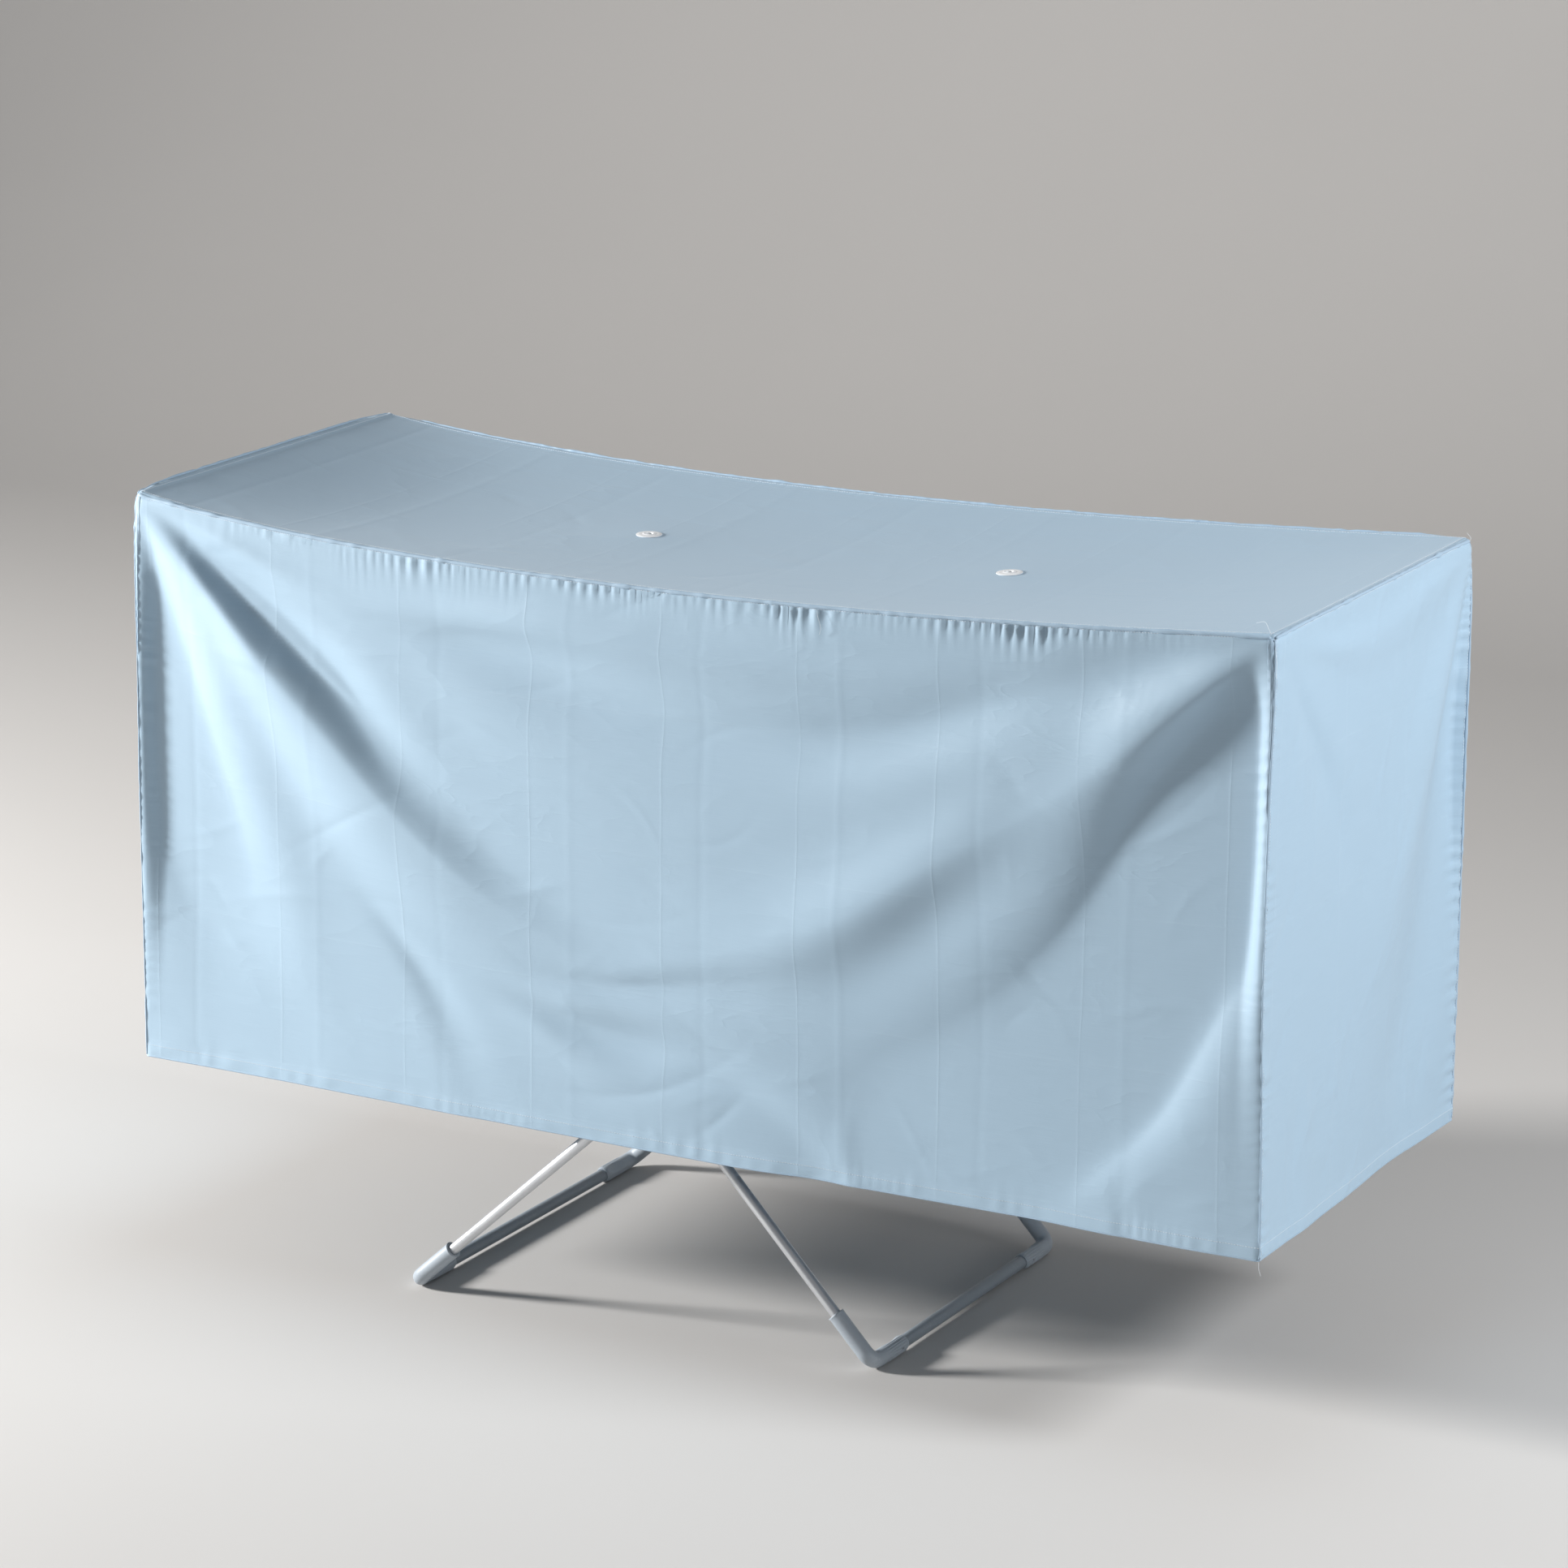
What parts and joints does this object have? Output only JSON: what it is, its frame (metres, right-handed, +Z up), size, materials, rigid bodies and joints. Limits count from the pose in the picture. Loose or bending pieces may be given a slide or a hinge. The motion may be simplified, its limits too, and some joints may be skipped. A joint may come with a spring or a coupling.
{
  "type": "winged clothes airer with fitted cover",
  "caption": "Folding X-leg clothes airer with raised wings, standing under a box-shaped fabric cover with eyelets in its sagging top.",
  "frame": {"origin": "on the floor under the middle of the cover", "axes": "+X along the airer's length to its right-hand wing, +Y to the back, +Z up"},
  "size_m": [1.8002, 0.684, 1.1501],
  "materials": {
    "cover_cloth": "fine woven polyester with a slight sheen",
    "eyelet_plastic": "glossy white",
    "leg_tube_metal": "satin silver",
    "foot_bar_paint": "satin grey paint",
    "rack_tube_paint": "satin silver",
    "rod_wire": "white coated wire",
    "grey_plastic": "moulded, fine grain",
    "rivet_steel": "bright",
    "spring_steel": "bright"
  },
  "bodies": {
    "rack": {"rack_side_tube_front": "rack_tube_paint", "rack_side_tube_rear": "rack_tube_paint", "rack_end_tube_left": "rack_tube_paint", "rack_end_tube_right": "rack_tube_paint", "rack_rods": "rod_wire", "rack_cross_wire": "rod_wire", "corner_block_left_front": "grey_plastic", "corner_block_left_rear": "grey_plastic", "corner_block_right_front": "grey_plastic", "corner_block_right_rear": "grey_plastic", "leg_sleeve_front": "grey_plastic", "leg_sleeve_rear": "grey_plastic", "leg_catch_front": "grey_plastic", "leg_catch_rear": "grey_plastic", "catch_spring_front": "spring_steel", "catch_spring_rear": "spring_steel", "left_wing_pin_front": "rivet_steel", "left_wing_pin_rear": "rivet_steel", "right_wing_pin_front": "rivet_steel", "right_wing_pin_rear": "rivet_steel"},
    "inner_legs": {"inner_leg_tube": "leg_tube_metal", "inner_foot_bar": "foot_bar_paint", "inner_foot_front": "grey_plastic", "inner_foot_rear": "grey_plastic", "inner_foot_nibs": "rivet_steel", "leg_rivet_front": "rivet_steel", "leg_rivet_rear": "rivet_steel", "leg_bush_front": "grey_plastic", "leg_bush_rear": "grey_plastic"},
    "outer_legs": {"outer_leg_tube": "leg_tube_metal", "outer_foot_bar": "foot_bar_paint", "outer_foot_front": "grey_plastic", "outer_foot_rear": "grey_plastic", "outer_foot_nibs": "rivet_steel"},
    "left_wing": {"left_wing_tube": "rack_tube_paint", "left_wing_bar": "rack_tube_paint", "left_wing_rods": "rod_wire", "left_wing_knuckle_front": "grey_plastic", "left_wing_knuckle_rear": "grey_plastic"},
    "right_wing": {"right_wing_tube": "rack_tube_paint", "right_wing_bar": "rack_tube_paint", "right_wing_rods": "rod_wire", "right_wing_knuckle_front": "grey_plastic", "right_wing_knuckle_rear": "grey_plastic"},
    "cover": {"cover_top": "cover_cloth", "cover_front": "cover_cloth", "cover_back": "cover_cloth", "cover_left": "cover_cloth", "cover_right": "cover_cloth", "eyelet_left": "eyelet_plastic", "eyelet_right": "eyelet_plastic", "eyelet_washer_left": "eyelet_plastic", "eyelet_washer_right": "eyelet_plastic"}
  },
  "joints": [
    {"name": "leg_fold", "type": "hinge", "parent": "rack", "child": "inner_legs", "pos_m": [-0.473, 0, 0.818], "axis": [0, -1, 0], "range_deg": [0, 45.3], "deforming": ["catch_spring_front", "catch_spring_rear"]},
    {"name": "outer_leg_fold", "type": "hinge", "parent": "inner_legs", "child": "outer_legs", "pos_m": [-0.05344, 0, 0.37448], "axis": [0, -1, 0], "range_deg": [-86.8, 0]},
    {"name": "left_wing_fold", "type": "hinge", "parent": "rack", "child": "left_wing", "pos_m": [-0.505, 0, 0.858], "axis": [0, 1, 0], "range_deg": [0, 143.8], "deforming": ["cover_top"]},
    {"name": "right_wing_fold", "type": "hinge", "parent": "rack", "child": "right_wing", "pos_m": [0.505, 0, 0.858], "axis": [0, -1, 0], "range_deg": [0, 143.8], "deforming": ["cover_top"]},
    {"name": "cover_lift", "type": "slide", "parent": "rack", "child": "cover", "axis": [0, 0, 1], "range_m": [0, 0.9]}
  ],
  "couplings": [
    {"joint": "outer_leg_fold", "follows": "leg_fold", "ratio": -1.9127}
  ]
}
